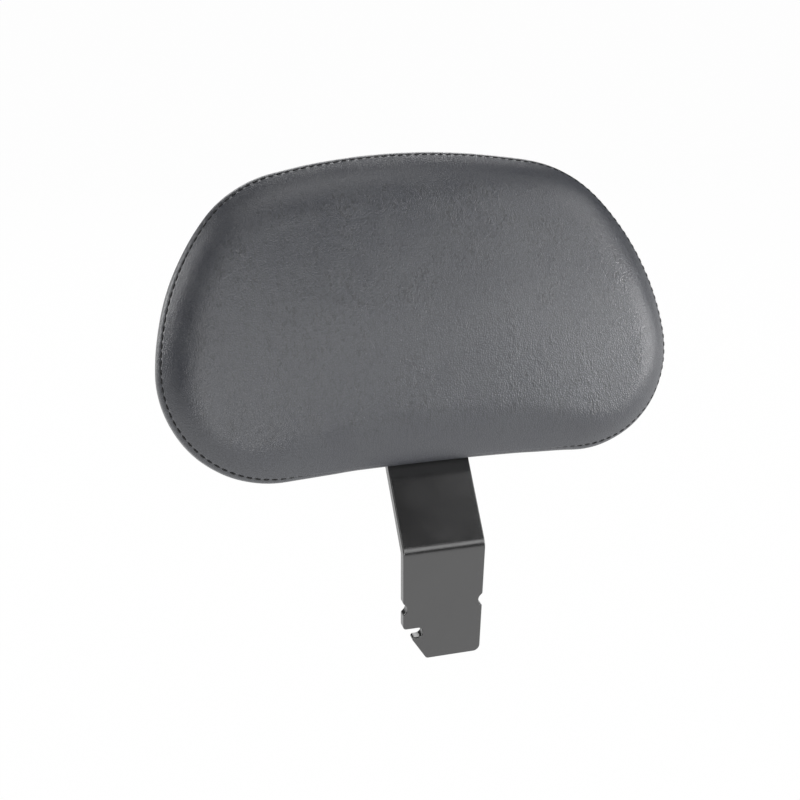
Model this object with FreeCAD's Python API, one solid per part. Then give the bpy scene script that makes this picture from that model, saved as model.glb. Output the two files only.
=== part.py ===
import FreeCAD, Part
import math
import os

V = FreeCAD.Vector

# Motorcycle driver backrest: an upholstered pad screwed to a flat steel stem that is folded twice.
# Millimetres. +X is the viewer's right, -Y is the padded side that the rider leans on, +Z is up.
# The origin is the middle of the stem's lower end, half-way through the plate.

# Stem plate, folded from one blank
plate_thickness = 6.35
stem_width = 50.8
blade_tip_width = 48.7
blade_length = 74.2
middle_lean = 41.6
bend_radius = 4.0
upper_length = 92.0
upper_corner_radius = 9.0
edge_round = 0.8

# Cut-outs of the blade, measured from its side edges and its lower end
notch_height = 36.2
notch_depth = 2.4
notch_radius = 4.0
notch_shoulder_radius = 1.5
hook_height = 15.9
slot_height = 6.4
slot_depth = 12.2
hook_setback = 4.7
foot_setback = 14.6
tab_radius = 2.0
hook_radius = 1.5
foot_radius = 2.0
heel_radius = 4.2

# Outline of the pad in its own plane: a chain of tangent arcs, mirrored left and right
pad_lean = 24.5
pad_forward = 0.7
pad_rise = 51.4
pad_width = 309.0
pad_height = 182.7
top_radius = 383.0
top_half_angle = 12.0
shoulder_radius = 72.7
flank_radius = 145.0
lobe_radius = 61.8
waist_arch = 3.0

# Front of the cushion
crown_height = 27.0
crown_radius_across = 1200.0
crown_radius_along = 500.0
roll_radius = 14.0

# Sewn cover: a front panel and a band round the side, joined by a turned-in seam
cover_thickness = 1.2
seam_round = 2.2
seam_allowance = 9.0
band_depth = 16.0
band_bulge = 2.5
band_front_round = 5.0
band_rear_round = 6.0
hem_width = 17.0

# Wooden board behind the foam, which the cover is pulled round
board_thickness = 9.0
board_inset = 1.5
board_rear_round = 2.0

# Staples that hold the hem to the board
staple_count = 28
staple_inset = 12.0
staple_crown = 10.0
staple_leg = 6.0
staple_wire_width = 1.2
staple_wire_height = 0.6

# Moulded cover on the back
rear_inset = 7.0
rear_depth = 3.0
rear_wall = 2.0
rear_rim = 2.5
rear_round = 2.0
plateau_margin = 9.0
plateau_radius = 8.0

# Push rivets that hold the moulded cover
rivet_count = 8
rivet_inset = 26.0
rivet_head_radius = 6.0
rivet_head_height = 1.8
rivet_shank_radius = 2.5
rivet_length = 10.0
rivet_boss_radius = 5.5

# Screws, washers and tee nuts that hold the stem
screw_spacing_across = 28.0
screw_spacing_along = 44.0
screw_margin = 22.0
screw_radius = 3.0
screw_length = 25.0
screw_clearance = 0.3
head_radius = 5.25
head_height = 3.3
head_flat_radius = 2.9
socket_across_flats = 4.0
socket_depth = 2.0
washer_radius = 7.0
washer_thickness = 1.6
lock_radius = 5.0
lock_thickness = 1.5
lock_gap = 1.0
tee_flange_radius = 9.5
tee_flange_thickness = 1.5
tee_barrel_radius = 4.0
tee_barrel_length = 7.5
tee_prong_circle = 7.8
tee_prong_length = 5.0
tee_prong_width = 2.0
tee_prong_thickness = 1.0


# Shared helpers

def unit(vector):
    """A copy of the vector with a length of 1."""
    return vector * (1.0 / vector.Length)


def arc_about(centre, start, end):
    """The shorter arc from start to end round a centre."""
    middle = centre + unit(unit(start - centre) + unit(end - centre)) * (start - centre).Length
    return Part.Arc(start, middle, end).toShape()


def rounded_wire(corners):
    """A closed wire through (point, radius) corners, each corner turned by an arc of its radius."""
    count = len(corners)
    turns = []
    for index, (point, radius) in enumerate(corners):
        back = unit(corners[index - 1][0] - point)
        ahead = unit(corners[(index + 1) % count][0] - point)
        half = back.getAngle(ahead) / 2
        reach = radius / math.tan(half)
        centre = point + unit(back + ahead) * (radius / math.sin(half)) if radius else point
        turns.append((point + back * reach, centre, point + ahead * reach, radius))
    edges = []
    for index, (start, centre, end, radius) in enumerate(turns):
        if radius:
            edges.append(arc_about(centre, start, end))
        following = turns[(index + 1) % count][0]
        if (following - end).Length > 1e-6:
            edges.append(Part.LineSegment(end, following).toShape())
    return Part.Wire(Part.__sortEdges__(edges))


def prism(wire, low, high):
    """A solid between two heights over a closed wire drawn at height 0."""
    face = Part.Face(wire)
    face.translate(V(0, 0, low))
    return face.extrude(V(0, 0, high - low))


def sharp_edges(shape, least_degrees=20.0):
    """The edges where two faces meet at a corner that can be felt."""
    found = []
    for edge in shape.Edges:
        faces = shape.ancestorsOfType(edge, Part.Face)
        if len(faces) != 2:
            continue
        middle = edge.valueAt((edge.FirstParameter + edge.LastParameter) / 2)
        normals = [face.normalAt(*face.Surface.parameter(middle)) for face in faces]
        if math.degrees(normals[0].getAngle(normals[1])) > least_degrees:
            found.append(edge)
    return found


def edges_at_height(shape, height):
    """The edges that lie flat at one height."""
    return [
        edge for edge in shape.Edges
        if abs(edge.BoundBox.ZMin - height) < 1e-4 and abs(edge.BoundBox.ZMax - height) < 1e-4
    ]


# Stem profile, seen from the side as (y, z) points of the front face

def lean_direction(lean):
    """The way up a face that leans back by an angle."""
    return V(0, math.sin(math.radians(lean)), math.cos(math.radians(lean)))


def rear_normal(lean):
    """The way from the front face to the rear face of a plate that leans back by an angle."""
    return V(0, math.cos(math.radians(lean)), -math.sin(math.radians(lean)))


board_back = cover_thickness - band_depth
board_face = board_back + board_thickness
pad_back = band_depth + rear_depth
lower_bend = V(0, -plate_thickness / 2, blade_length)
lean_difference = math.radians(middle_lean - pad_lean)
seam_to_bend = -pad_forward * math.cos(math.radians(pad_lean))
middle_length = (pad_back + seam_to_bend) / math.sin(lean_difference)
upper_bend = lower_bend + lean_direction(middle_lean) * middle_length
stem_top = upper_bend + lean_direction(pad_lean) * upper_length

# The pad's own frame: x across, y up the pad, z forward out of the seam plane.
pad_origin = V(0, -plate_thickness / 2 - pad_forward, blade_length)
pad_placement = FreeCAD.Placement(pad_origin, FreeCAD.Rotation(V(1, 0, 0), 90 - pad_lean))
upper_bend_on_pad = pad_placement.inverse().multVec(upper_bend).y


def in_place(shape):
    """A copy of a shape drawn in the pad's frame, moved to where the pad is."""
    moved = shape.copy()
    moved.Placement = pad_placement.multiply(moved.Placement)
    return moved


def folded_plate():
    """The plate as a strip of full width, with its two folds."""
    front = [lower_bend - V(0, 0, blade_length), lower_bend, upper_bend, stem_top]
    leans = [0.0, middle_lean, pad_lean]
    faces = {"front": [], "rear": []}
    starts = {"front": front[0], "rear": front[0] + rear_normal(leans[0]) * plate_thickness}
    for index in (1, 2):
        before, after = leans[index - 1], leans[index]
        backwards = after > before
        front_radius = bend_radius + (plate_thickness if backwards else 0.0)
        reach = front_radius * math.tan(math.radians(abs(after - before)) / 2)
        start = front[index] - lean_direction(before) * reach
        end = front[index] + lean_direction(after) * reach
        centre = start + rear_normal(before) * (front_radius if backwards else -front_radius)
        for side, shift in (("front", 0.0), ("rear", plate_thickness)):
            arc_start = start + rear_normal(before) * shift
            arc_end = end + rear_normal(after) * shift
            faces[side].append(Part.LineSegment(starts[side], arc_start).toShape())
            faces[side].append(arc_about(centre, arc_start, arc_end))
            starts[side] = arc_end
    tops = {"front": stem_top, "rear": stem_top + rear_normal(pad_lean) * plate_thickness}
    edges = [
        Part.LineSegment(front[0], front[0] + rear_normal(0) * plate_thickness).toShape(),
        Part.LineSegment(tops["front"], tops["rear"]).toShape(),
    ]
    for side in ("front", "rear"):
        edges += faces[side]
        edges.append(Part.LineSegment(starts[side], tops[side]).toShape())
    profile = Part.Face(Part.Wire(Part.__sortEdges__(edges)))
    profile.translate(V(-stem_width / 2, 0, 0))
    return profile.extrude(V(stem_width, 0, 0))


def blade_outline():
    """The blade seen from the front: side notches, latch slot, hook, slanted foot and heel."""
    def edge_x(height):
        share = height / blade_length
        return (blade_tip_width + (stem_width - blade_tip_width) * share) / 2

    # Both flanks of a notch slope at 45 degrees, so its sharp corner lies deeper than its arc.
    notch_corner = notch_depth + notch_radius * (math.sqrt(2) - 1)
    slot_top = hook_height + slot_height
    slot_end = slot_depth - edge_x(hook_height)
    corners = [(V(edge_x(blade_length), 0, blade_length), 0)]
    corners += [
        (V(edge_x(notch_height + notch_corner), 0, notch_height + notch_corner), notch_shoulder_radius),
        (V(edge_x(notch_height) - notch_corner, 0, notch_height), notch_radius),
        (V(edge_x(notch_height - notch_corner), 0, notch_height - notch_corner), notch_shoulder_radius),
    ]
    corners += [
        (V(edge_x(0), 0, 0), heel_radius),
        (V(foot_setback - edge_x(0), 0, 0), foot_radius),
        (V(hook_setback - edge_x(hook_height), 0, hook_height), hook_radius),
        (V(slot_end, 0, hook_height), slot_height / 2),
        (V(slot_end, 0, slot_top), slot_height / 2),
        (V(-edge_x(slot_top), 0, slot_top), tab_radius),
    ]
    corners += [
        (V(-edge_x(notch_height - notch_corner), 0, notch_height - notch_corner), notch_shoulder_radius),
        (V(notch_corner - edge_x(notch_height), 0, notch_height), notch_radius),
        (V(-edge_x(notch_height + notch_corner), 0, notch_height + notch_corner), notch_shoulder_radius),
    ]
    corners.append((V(-edge_x(blade_length), 0, blade_length), 0))
    return rounded_wire(corners)


def screw_places():
    """Where the stem's screws stand on the pad, as points in the seam plane."""
    low = upper_bend_on_pad + screw_margin
    return [
        V(across, along, 0)
        for across in (-screw_spacing_across / 2, screw_spacing_across / 2)
        for along in (low, low + screw_spacing_along)
    ]


def screw_holes(radius, low, high):
    """Round tools for the stem's screws, between two depths in the pad's frame."""
    return Part.makeCompound([
        Part.makeCylinder(radius, high - low, place + V(0, 0, low)) for place in screw_places()
    ])


def make_stem_plate():
    plate = folded_plate()
    reach = abs(stem_top.y) + 2 * plate_thickness
    blade = Part.Face(blade_outline())
    blade.translate(V(0, -reach, 0))
    blade = blade.extrude(V(0, 2 * reach, 0))
    above = Part.makeBox(stem_width, 2 * reach, stem_top.z, V(-stem_width / 2, -reach, blade_length))
    plate = plate.common(blade.fuse(above).removeSplitter())

    low = upper_bend_on_pad
    high = low + upper_length
    half = stem_width / 2
    head = rounded_wire([
        (V(-half, low, 0), 0),
        (V(half, low, 0), 0),
        (V(half, high, 0), upper_corner_radius),
        (V(-half, high, 0), upper_corner_radius),
    ])
    head_corners = Part.makeBox(stem_width, upper_length, 4 * plate_thickness,
                                V(-half, low, -pad_back - 2 * plate_thickness))
    head_corners = head_corners.cut(prism(head, -pad_back - 2 * plate_thickness,
                                          -pad_back + 2 * plate_thickness))
    plate = plate.cut(in_place(head_corners)).removeSplitter()
    plate = plate.makeFillet(edge_round, sharp_edges(plate))
    hole = screw_radius + screw_clearance
    return plate.cut(in_place(screw_holes(hole, -pad_back - 2 * plate_thickness, -pad_back + 1)))


# Pad outline

def outline_centres():
    """Centres of the arcs on the right half, from the top down."""
    top = V(0, pad_rise + pad_height - top_radius, 0)
    angle = math.radians(top_half_angle)
    shoulder = top + V(math.sin(angle), math.cos(angle), 0) * (top_radius - shoulder_radius)
    lobe = V(pad_width / 2 - lobe_radius, pad_rise + lobe_radius, 0)
    # The flank's arc holds both the shoulder's and the lobe's, and touches each from inside.
    to_shoulder = flank_radius - shoulder_radius
    to_lobe = flank_radius - lobe_radius
    apart = (lobe - shoulder).Length
    along = (to_shoulder ** 2 - to_lobe ** 2 + apart ** 2) / (2 * apart)
    aside = math.sqrt(to_shoulder ** 2 - along ** 2)
    down = unit(lobe - shoulder)
    flank = shoulder + down * along + V(down.y, -down.x, 0) * aside
    # The waist's arc touches both lobes from outside and rises by waist_arch between them.
    drop = lobe_radius - waist_arch
    waist_radius = (lobe.x ** 2 + drop ** 2 - lobe_radius ** 2) / (2 * waist_arch)
    waist = V(0, pad_rise + waist_arch - waist_radius, 0)
    return top, shoulder, flank, lobe, waist, waist_radius


def pad_outline(inset):
    """The pad's outline moved inwards by an inset, as a closed wire of eight arcs."""
    top, shoulder, flank, lobe, waist, waist_radius = outline_centres()
    joints = [
        top + unit(shoulder - top) * (top_radius - inset),
        flank + unit(shoulder - flank) * (flank_radius - inset),
        flank + unit(lobe - flank) * (flank_radius - inset),
        lobe + unit(waist - lobe) * (lobe_radius - inset),
    ]
    mirrored = [V(-point.x, point.y, 0) for point in joints]
    edges = [Part.Arc(mirrored[0], V(0, pad_rise + pad_height - inset, 0), joints[0]).toShape()]
    for centre, start, end in zip((shoulder, flank, lobe), joints, joints[1:]):
        edges.append(arc_about(centre, start, end))
    edges.append(Part.Arc(joints[3], V(0, waist.y + waist_radius + inset, 0), mirrored[3]).toShape())
    left_centres = [V(-centre.x, centre.y, 0) for centre in (lobe, flank, shoulder)]
    for centre, start, end in zip(left_centres, mirrored[::-1], mirrored[-2::-1]):
        edges.append(arc_about(centre, start, end))
    return Part.Wire(Part.__sortEdges__(edges))


def crowned_block(inset):
    """Everything behind the cushion's crowned face, moved inwards by an inset."""
    height = crown_height - inset
    across = crown_radius_across - inset
    along = crown_radius_along - inset
    middle = pad_rise + pad_height / 2
    half = pad_height
    drop = along - math.sqrt(along ** 2 - half ** 2)
    low, high = V(0, middle - half, height - drop), V(0, middle + half, height - drop)
    edges = [
        Part.Arc(low, V(0, middle, height), high).toShape(),
        Part.LineSegment(high, V(0, high.y, -half)).toShape(),
        Part.LineSegment(V(0, high.y, -half), V(0, low.y, -half)).toShape(),
        Part.LineSegment(V(0, low.y, -half), low).toShape(),
    ]
    section = Part.Face(Part.Wire(Part.__sortEdges__(edges)))
    spread = 2 * math.degrees(math.asin(pad_width / (2 * (across - height))))
    axis_point = V(0, 0, height - across)
    section.rotate(axis_point, V(0, 1, 0), -spread / 2)
    return section.revolve(axis_point, V(0, 1, 0), spread)


def front_form(inset):
    """The crowned and rolled front of the cushion, from just in front of the seam plane."""
    block = prism(pad_outline(inset), inset, 2 * crown_height).common(crowned_block(inset))
    crown_edges = [
        edge for edge in block.Edges
        if edge.BoundBox.ZMin > inset + seam_round and edge.BoundBox.XLength + edge.BoundBox.YLength > 1e-3
    ]
    block = block.makeFillet(roll_radius - inset, crown_edges)
    return block.makeFillet(seam_round - inset, edges_at_height(block, inset))


def band_form(inset):
    """The side of the pad between the seam and the back, which bulges beyond the seam."""
    block = prism(pad_outline(inset - band_bulge), inset - band_depth, -inset)
    block = block.makeFillet(band_front_round - inset, edges_at_height(block, -inset))
    return block.makeFillet(band_rear_round - inset, edges_at_height(block, inset - band_depth))


def make_cover(front_inner, band_inner):
    """The two sewn pieces of the cover, each with its edge turned in at the seam."""
    mouth = pad_outline(seam_allowance)
    panel = front_form(0).cut(front_inner).cut(prism(mouth, -1, 2 * cover_thickness))
    hem_mouth = prism(pad_outline(hem_width), -band_depth - 1, cover_thickness - band_depth)
    band = band_form(0).cut(band_inner).cut(prism(mouth, -2 * cover_thickness, 1)).cut(hem_mouth)
    return panel, band


def make_foam(front_inner, band_inner):
    """The foam fills the cover, is nipped in by the seam and wraps the board's edge."""
    neck = prism(pad_outline(seam_allowance), -cover_thickness, cover_thickness)
    return front_inner.fuse(neck).fuse(band_inner).removeSplitter()


def make_staples():
    """One staple on every step of the hem's line, lying along it."""
    line = pad_outline(staple_inset)
    step = line.Length / staple_count
    points = line.discretize(Number=staple_count + 1)[:-1]
    crown_back = -band_depth - staple_wire_height
    staples = []
    for index, point in enumerate(points):
        ahead = points[(index + 1) % staple_count] - points[index - 1]
        half = staple_crown / 2
        crown = Part.makeBox(staple_crown, staple_wire_width, staple_wire_height,
                             V(-half, -staple_wire_width / 2, crown_back))
        legs = [
            Part.makeBox(staple_wire_height, staple_wire_width, staple_leg,
                         V(side, -staple_wire_width / 2, -band_depth))
            for side in (-half, half - staple_wire_height)
        ]
        staple = crown.fuse(legs).removeSplitter()
        turn = math.degrees(math.atan2(ahead.y, ahead.x))
        staple.Placement = FreeCAD.Placement(point, FreeCAD.Rotation(V(0, 0, 1), turn))
        staples.append(staple)
    return Part.makeCompound(staples)


# Moulded cover on the back, and what holds it

def rivet_places():
    """Points for the rivets, evenly spread along a line inside the hem and clear of the stem."""
    line = pad_outline(rivet_inset)
    return line.discretize(Number=2 * rivet_count + 1)[1::2]


def make_rear_cover():
    outer = prism(pad_outline(rear_inset), -pad_back, -band_depth)
    outer = outer.makeFillet(rear_round, edges_at_height(outer, -pad_back))
    floor = rear_wall - pad_back
    shell = outer.cut(prism(pad_outline(rear_inset + rear_rim), floor, 1 - band_depth))
    places = screw_places()
    low, high = places[0], places[-1]
    plateau = prism(rounded_wire([
        (V(low.x - plateau_margin, low.y - plateau_margin, 0), plateau_radius),
        (V(high.x + plateau_margin, low.y - plateau_margin, 0), plateau_radius),
        (V(high.x + plateau_margin, high.y + plateau_margin, 0), plateau_radius),
        (V(low.x - plateau_margin, high.y + plateau_margin, 0), plateau_radius),
    ]), floor, board_back)
    bosses = [
        Part.makeCylinder(rivet_boss_radius, board_back - floor, place + V(0, 0, floor))
        for place in rivet_places()
    ]
    shell = shell.fuse([plateau] + bosses).removeSplitter()
    rivet_bores = [
        Part.makeCylinder(rivet_shank_radius, 2 * pad_back, place - V(0, 0, 2 * pad_back))
        for place in rivet_places()
    ]
    holes = screw_holes(screw_radius + screw_clearance, -2 * pad_back, 0)
    return shell.cut(rivet_bores + [holes])


def make_rear_rivets():
    """Push rivets with a low domed head and a rounded tip."""
    back = -pad_back
    dome = (rivet_head_radius ** 2 + rivet_head_height ** 2) / (2 * rivet_head_height)
    side = V(rivet_head_radius * 0.6, 0, 0)
    side.z = back - rivet_head_height + dome - math.sqrt(dome ** 2 - side.x ** 2)
    tip = back + rivet_length
    edges = [
        Part.Arc(V(0, 0, back - rivet_head_height), side, V(rivet_head_radius, 0, back)).toShape(),
        Part.LineSegment(V(rivet_head_radius, 0, back), V(rivet_shank_radius, 0, back)).toShape(),
        Part.LineSegment(V(rivet_shank_radius, 0, back), V(rivet_shank_radius, 0, tip - 1)).toShape(),
        Part.LineSegment(V(rivet_shank_radius, 0, tip - 1), V(rivet_shank_radius - 1, 0, tip)).toShape(),
        Part.LineSegment(V(rivet_shank_radius - 1, 0, tip), V(0, 0, tip)).toShape(),
        Part.LineSegment(V(0, 0, tip), V(0, 0, back - rivet_head_height)).toShape(),
    ]
    rivet = Part.Face(Part.Wire(Part.__sortEdges__(edges))).revolve(V(0, 0, 0), V(0, 0, 1), 360)
    copies = []
    for place in rivet_places():
        copy = rivet.copy()
        copy.translate(place)
        copies.append(copy)
    return Part.makeCompound(copies)


# Fasteners of the stem, stacked from the plate's rear face backwards

stem_rear = -pad_back - plate_thickness
washer_rear = stem_rear - washer_thickness
lock_rear = washer_rear - lock_thickness


def at_screws(shape):
    """One copy of a fastener at each of the stem's screws."""
    copies = []
    for place in screw_places():
        copy = shape.copy()
        copy.translate(place)
        copies.append(copy)
    return Part.makeCompound(copies)


def make_washer():
    ring = Part.makeCylinder(washer_radius, washer_thickness, V(0, 0, washer_rear))
    return ring.cut(Part.makeCylinder(screw_radius, washer_thickness, V(0, 0, washer_rear)))


def make_lock_washer():
    ring = Part.makeCylinder(lock_radius, lock_thickness, V(0, 0, lock_rear))
    ring = ring.cut(Part.makeCylinder(screw_radius, lock_thickness, V(0, 0, lock_rear)))
    split = Part.makeBox(lock_radius, lock_gap, lock_thickness, V(0, -lock_gap / 2, lock_rear))
    return ring.cut(split)


def make_screw():
    """A button head with a hexagon socket, on a plain shank."""
    top = lock_rear - head_height
    rise = V(head_radius, 0, lock_rear - 0.6)
    crown = V(head_flat_radius, 0, top)
    bulge = (rise + crown) * 0.5 + V(0.45, 0, -0.55)
    tip = lock_rear + screw_length
    edges = [
        Part.LineSegment(V(0, 0, top), crown).toShape(),
        Part.Arc(crown, bulge, rise).toShape(),
        Part.LineSegment(rise, V(head_radius, 0, lock_rear)).toShape(),
        Part.LineSegment(V(head_radius, 0, lock_rear), V(screw_radius, 0, lock_rear)).toShape(),
        Part.LineSegment(V(screw_radius, 0, lock_rear), V(screw_radius, 0, tip)).toShape(),
        Part.LineSegment(V(screw_radius, 0, tip), V(0, 0, tip)).toShape(),
        Part.LineSegment(V(0, 0, tip), V(0, 0, top)).toShape(),
    ]
    screw = Part.Face(Part.Wire(Part.__sortEdges__(edges))).revolve(V(0, 0, 0), V(0, 0, 1), 360)
    corner = socket_across_flats / math.sqrt(3)
    points = [
        V(corner * math.cos(math.radians(60 * step)), corner * math.sin(math.radians(60 * step)), top)
        for step in range(7)
    ]
    return screw.cut(Part.Face(Part.makePolygon(points)).extrude(V(0, 0, socket_depth)))


def make_tee_nut():
    """A flanged barrel pressed into the board from the front, with four prongs."""
    flange = Part.makeCylinder(tee_flange_radius, tee_flange_thickness, V(0, 0, board_face))
    barrel = Part.makeCylinder(tee_barrel_radius, tee_barrel_length, V(0, 0, board_face - tee_barrel_length))
    nut = flange.fuse(barrel)
    for step in range(4):
        prong = Part.makeBox(tee_prong_thickness, tee_prong_width, tee_prong_length,
                             V(tee_prong_circle, -tee_prong_width / 2, board_face - tee_prong_length))
        prong.rotate(V(0, 0, 0), V(0, 0, 1), 45 + 90 * step)
        nut = nut.fuse(prong)
    bore = Part.makeCylinder(screw_radius, tee_barrel_length + tee_flange_thickness,
                             V(0, 0, board_face - tee_barrel_length))
    return nut.removeSplitter().cut(bore)


# Assembly

def build():
    front_inner = front_form(cover_thickness)
    band_inner = band_form(cover_thickness)
    panel, band = make_cover(front_inner, band_inner)
    staples = make_staples()
    tee_nuts = at_screws(make_tee_nut())
    screws = at_screws(make_screw())
    rivets = make_rear_rivets()
    board = prism(pad_outline(board_inset), board_back, board_face)
    board = board.makeFillet(board_rear_round, edges_at_height(board, board_back))
    foam = make_foam(front_inner, band_inner).cut([board, tee_nuts, screws])
    board = board.cut([staples, tee_nuts, rivets])
    board = board.cut(screw_holes(screw_radius + screw_clearance, -2 * pad_back, board_face))
    pad_pieces = {
        "front_panel": panel,
        "side_band": band.cut(staples),
        "foam_cushion": foam,
        "backing_board": board,
        "hem_staples": staples,
        "rear_cover": make_rear_cover(),
        "rear_cover_rivets": rivets,
        "tee_nuts": tee_nuts,
        "stem_screws": screws,
        "stem_washers": at_screws(make_washer()),
        "stem_lock_washers": at_screws(make_lock_washer()),
    }
    pieces = {name: in_place(shape) for name, shape in pad_pieces.items()}
    pieces["stem_plate"] = make_stem_plate()
    return pieces


os.makedirs("parts", exist_ok=True)
for name, shape in build().items():
    print(name, len(shape.Solids), "valid", shape.isValid(), "volume %.0f" % shape.Volume)
    shape.exportStep("parts/" + name + ".step")
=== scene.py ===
import math

import bmesh
import bpy
import numpy as np
from bpy.props import FloatProperty, FloatVectorProperty, IntProperty, PointerProperty
from mathutils import Matrix, Vector, kdtree, noise


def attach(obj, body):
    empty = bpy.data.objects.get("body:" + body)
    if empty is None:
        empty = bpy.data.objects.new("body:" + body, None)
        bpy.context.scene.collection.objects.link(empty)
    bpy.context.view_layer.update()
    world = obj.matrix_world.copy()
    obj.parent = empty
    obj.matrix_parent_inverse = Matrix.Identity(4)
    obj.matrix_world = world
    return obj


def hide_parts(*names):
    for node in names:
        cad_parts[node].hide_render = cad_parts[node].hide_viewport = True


bl_info = {
    "name": "Motorcycle Driver Backrest",
    "version": (1, 0, 0),
    "blender": (4, 5, 0),
    "location": "View3D > Sidebar > Backrest",
    "description": "Upholsters the pad, sews its seam, finishes the folded stem and sets up the studio",
    "category": "Object",
}

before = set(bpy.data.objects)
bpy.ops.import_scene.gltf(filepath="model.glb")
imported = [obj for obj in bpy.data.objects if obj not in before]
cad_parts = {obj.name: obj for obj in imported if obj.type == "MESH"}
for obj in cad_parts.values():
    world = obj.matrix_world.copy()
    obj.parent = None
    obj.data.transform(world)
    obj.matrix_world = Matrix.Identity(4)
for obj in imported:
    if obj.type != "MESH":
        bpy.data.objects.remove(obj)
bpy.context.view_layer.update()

MM = 0.001
TINY = 1e-12


# Sizes and colours that a user would change

def length(label, description, millimetres):
    """A length in metres, given here in millimetres."""
    return FloatProperty(name=label, description=description, default=millimetres * MM,
                         subtype="DISTANCE", unit="LENGTH", precision=5)


def colour(label, description, value):
    """A colour of a finish, as linear red, green and blue."""
    return FloatVectorProperty(name=label, description=description, default=value,
                               subtype="COLOR", size=3, min=0.0, max=1.0)


def share(label, description, value):
    """A plain number from 0 to 1."""
    return FloatProperty(name=label, description=description, default=value, min=0.0, max=1.0)


class PadSizes(bpy.types.PropertyGroup):
    """Outline, crown and seam of the pad, as in the frame."""
    lean: FloatProperty(name="Lean", description="How far the pad leans back",
                        default=math.radians(24.5), subtype="ANGLE", unit="ROTATION")
    origin_y: length("Origin Y", "Place of the seam plane along the depth", -3.875)
    origin_z: length("Origin Z", "Height of the lower fold, from which the pad is measured", 74.2)
    rise: length("Rise", "Distance up the pad's plane to its lower edge", 51.4)
    width: length("Width", "Width at the seam", 309.0)
    height: length("Height", "Height at the seam", 182.7)
    top_radius: length("Top radius", "Radius of the long upper arc", 383.0)
    top_half_angle: FloatProperty(name="Top half angle", description="Half the angle of the upper arc",
                                  default=math.radians(12.0), subtype="ANGLE", unit="ROTATION")
    shoulder_radius: length("Shoulder radius", "Radius of the upper corners", 72.7)
    flank_radius: length("Flank radius", "Radius of the sloping flanks", 145.0)
    lobe_radius: length("Lobe radius", "Radius of the lower corners", 61.8)
    waist_arch: length("Waist arch", "Rise of the lower edge between the lobes", 3.0)
    crown_height: length("Crown height", "Height of the crowned face over the seam", 27.0)
    crown_across: length("Crown radius across", "Radius of the crown from side to side", 1200.0)
    crown_along: length("Crown radius along", "Radius of the crown from bottom to top", 500.0)
    edge_lean: FloatProperty(name="Edge lean", description="Angle at which the face rises from the seam",
                             default=math.radians(54.0), subtype="ANGLE", unit="ROTATION")
    seam_round: length("Seam round", "Radius at which the face turns in to the seam", 2.2)
    seam_allowance: length("Seam allowance", "Width of the turned-in edge", 9.0)
    band_depth: length("Band depth", "Depth of the side band behind the seam", 16.0)
    band_bulge: length("Band bulge", "How far the band stands out beyond the seam", 2.5)
    band_front_round: length("Band front round", "Radius of the band next to the seam", 5.0)
    band_rear_round: length("Band rear round", "Radius of the band next to the back", 6.0)
    hem_width: length("Hem width", "Width of the hem behind the board", 17.0)
    board_inset: length("Board inset", "Distance of the board's edge inside the outline", 1.5)
    board_front: length("Board front", "Depth of the board's front behind the seam", 5.8)
    board_back: length("Board back", "Depth of the board's back behind the seam", 14.8)
    swell: length("Swell", "How far the stuffed face rises in the simulation", 2.5)
    stitches: IntProperty(name="Stitches", description="Stitches round the seam", default=168, min=12)
    stitch_length: length("Stitch length", "Length of one stitch between its two holes", 4.3)
    thread_radius: length("Thread radius", "Radius of the sewing thread", 0.6)


class Finishes(bpy.types.PropertyGroup):
    """Colours and gloss of the finishes."""
    vinyl: colour("Vinyl", "Upholstery vinyl", (0.0500, 0.0535, 0.0650))
    vinyl_roughness: share("Vinyl roughness", "Roughness of the vinyl", 0.36)
    thread: colour("Thread", "Sewing thread", (0.006, 0.006, 0.0065))
    coating: colour("Powder coat", "Powder coat of the stem", (0.016, 0.016, 0.0165))
    coating_roughness: share("Powder coat roughness", "Roughness of the powder coat", 0.20)
    plastic: colour("Plastic", "Moulded plastic of the rear cover", (0.027, 0.027, 0.029))
    black_zinc: colour("Black zinc", "Black zinc of the screws and washers", (0.05, 0.05, 0.055))
    bright_zinc: colour("Bright zinc", "Bright zinc of the staples and tee nuts", (0.62, 0.63, 0.65))
    plywood: colour("Plywood", "Veneer of the board", (0.5, 0.36, 0.22))
    floor: colour("Floor", "Floor of the studio", (0.9, 0.9, 0.9))


def pad():
    return bpy.context.scene.backrest_pad


def finishes():
    return bpy.context.scene.backrest_finishes


# Outline of the pad in its own plane

def heading(vector):
    """Angle of a vector, clockwise from straight up, from 0 to a full turn."""
    return math.atan2(vector[0], vector[1]) % (2 * math.pi)


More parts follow.
